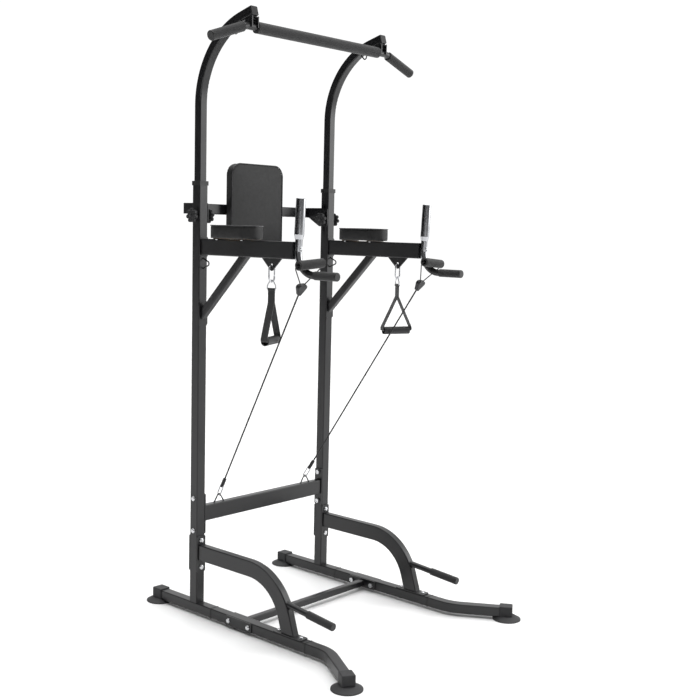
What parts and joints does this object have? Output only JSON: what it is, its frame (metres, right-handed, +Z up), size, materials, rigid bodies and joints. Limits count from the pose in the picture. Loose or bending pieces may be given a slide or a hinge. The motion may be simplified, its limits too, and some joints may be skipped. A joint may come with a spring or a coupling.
{
  "type": "power tower",
  "caption": "free-standing gym tower with height-adjustable pull-up bar, dip arms with elbow pads, sliding backrest, push-up handles, elastic cord handles and hanging stirrups",
  "frame": {"origin": "on the floor, at the middle of the footprint's bounding box", "axes": "+X to the right seen from the front feet, -Y towards the front feet, +Z up"},
  "size_m": [1.0778, 1.2038, 2.2363],
  "materials": {
    "frame_paint": "satin powder coat",
    "black_plastic": "matt",
    "rubber": "matt",
    "foam": "soft foam rubber",
    "leather": "grained, semi-matt",
    "board": "raw plywood",
    "zinc": "bright zinc",
    "chrome": "polished",
    "steel_wire": "bright",
    "cord_sheath": "woven sheath",
    "webbing": "woven"
  },
  "bodies": {
    "frame": {"base_rear_left": "frame_paint", "base_rear_right": "frame_paint", "base_mid_left": "frame_paint", "base_mid_right": "frame_paint", "base_front_left": "frame_paint", "base_front_right": "frame_paint", "floor_cross_tube": "frame_paint", "backing_plates": "frame_paint", "brace_left": "frame_paint", "brace_right": "frame_paint", "lower_upright_left": "frame_paint", "lower_upright_right": "frame_paint", "lower_crossbar": "frame_paint", "dip_arm_left": "frame_paint", "dip_arm_right": "frame_paint", "rubber_feet": "rubber", "base_joint_rings": "black_plastic", "upright_collars": "black_plastic", "handle_end_caps": "black_plastic", "cord_sleeves": "black_plastic", "handle_foam_grips": "foam", "elbow_pad_boards": "board", "elbow_pad_left": "leather", "elbow_pad_right": "leather", "dip_handles": "chrome", "dip_upright_sleeves": "chrome", "frame_bolts": "zinc", "cord_hooks": "steel_wire", "elastic_cord_left": "cord_sheath", "elastic_cord_right": "cord_sheath"},
    "backrest": {"backrest_frame": "frame_paint", "back_pad_board": "board", "back_pad": "leather", "backrest_screws": "zinc"},
    "upper_frame": {"upper_upright_left": "frame_paint", "upper_upright_right": "frame_paint", "pull_up_bar": "frame_paint", "pull_up_foam_grips": "foam", "pull_up_end_caps": "black_plastic", "pull_up_bolts": "zinc"},
    "height_knob_left": {"height_knob_left": "black_plastic"},
    "backrest_knob_left": {"backrest_knob_left": "black_plastic"},
    "cord_handle_left": {"cord_grip_left": "foam", "cord_cover_left": "black_plastic", "cord_loop_left": "cord_sheath"},
    "stirrup_carabiner_left": {"stirrup_carabiner_left": "steel_wire"},
    "stirrup_gate_left": {"stirrup_gate_left": "steel_wire"},
    "stirrup_handle_left": {"stirrup_ring_left": "steel_wire", "stirrup_strap_left": "webbing", "stirrup_grip_left": "black_plastic"},
    "height_knob_right": {"height_knob_right": "black_plastic"},
    "backrest_knob_right": {"backrest_knob_right": "black_plastic"},
    "cord_handle_right": {"cord_grip_right": "foam", "cord_cover_right": "black_plastic", "cord_loop_right": "cord_sheath"},
    "stirrup_carabiner_right": {"stirrup_carabiner_right": "steel_wire"},
    "stirrup_gate_right": {"stirrup_gate_right": "steel_wire"},
    "stirrup_handle_right": {"stirrup_ring_right": "steel_wire", "stirrup_strap_right": "webbing", "stirrup_grip_right": "black_plastic"}
  },
  "joints": [
    {"name": "upper_height", "type": "slide", "parent": "frame", "child": "upper_frame", "axis": [0, 0, 1], "range_m": [-0.25, 0.1]},
    {"name": "backrest_height", "type": "slide", "parent": "frame", "child": "backrest", "axis": [0, 0, 1], "range_m": [-0.04, 0.05]},
    {"name": "height_knob_turn_left", "type": "hinge", "parent": "frame", "child": "height_knob_left", "pos_m": [-0.345, 0.33, 1.515], "axis": [-1, 0, 0], "range_deg": [0, 720]},
    {"name": "backrest_knob_turn_left", "type": "hinge", "parent": "backrest", "child": "backrest_knob_left", "pos_m": [-0.345, 0.33, 1.515], "axis": [1, 0, 0], "range_deg": [0, 720]},
    {"name": "cord_pull_left", "type": "slide", "parent": "frame", "child": "cord_handle_left", "axis": [-0.0925, -0.5243, 0.8465], "range_m": [0, 0.025], "stiffness_N_per_m": 150, "springref_m": -0.05, "deforming": ["elastic_cord_left"]},
    {"name": "carabiner_swing_left", "type": "hinge", "parent": "frame", "child": "stirrup_carabiner_left", "pos_m": [-0.345, -0.053, 1.3458], "axis": [1, 0, 0], "range_deg": [0, 25]},
    {"name": "gate_open_left", "type": "hinge", "parent": "stirrup_carabiner_left", "child": "stirrup_gate_left", "pos_m": [-0.332, -0.053, 1.3068], "axis": [0, -1, 0], "range_deg": [0, 20], "stiffness_Nm_per_rad": 0.01, "springref_deg": -11.46},
    {"name": "stirrup_swing_left", "type": "hinge", "parent": "stirrup_carabiner_left", "child": "stirrup_handle_left", "pos_m": [-0.345, -0.053, 1.2898], "axis": [1, 0, 0], "range_deg": [0, 25]},
    {"name": "height_knob_turn_right", "type": "hinge", "parent": "frame", "child": "height_knob_right", "pos_m": [0.345, 0.33, 1.515], "axis": [1, 0, 0], "range_deg": [0, 720]},
    {"name": "backrest_knob_turn_right", "type": "hinge", "parent": "backrest", "child": "backrest_knob_right", "pos_m": [0.345, 0.33, 1.515], "axis": [-1, 0, 0], "range_deg": [0, 720]},
    {"name": "cord_pull_right", "type": "slide", "parent": "frame", "child": "cord_handle_right", "axis": [0.0925, -0.5243, 0.8465], "range_m": [0, 0.025], "stiffness_N_per_m": 150, "springref_m": -0.05, "deforming": ["elastic_cord_right"]},
    {"name": "carabiner_swing_right", "type": "hinge", "parent": "frame", "child": "stirrup_carabiner_right", "pos_m": [0.345, -0.053, 1.3458], "axis": [1, 0, 0], "range_deg": [0, 25]},
    {"name": "gate_open_right", "type": "hinge", "parent": "stirrup_carabiner_right", "child": "stirrup_gate_right", "pos_m": [0.332, -0.053, 1.3068], "axis": [0, 1, 0], "range_deg": [0, 20], "stiffness_Nm_per_rad": 0.01, "springref_deg": -11.46},
    {"name": "stirrup_swing_right", "type": "hinge", "parent": "stirrup_carabiner_right", "child": "stirrup_handle_right", "pos_m": [0.345, -0.053, 1.2898], "axis": [1, 0, 0], "range_deg": [0, 25]}
  ]
}
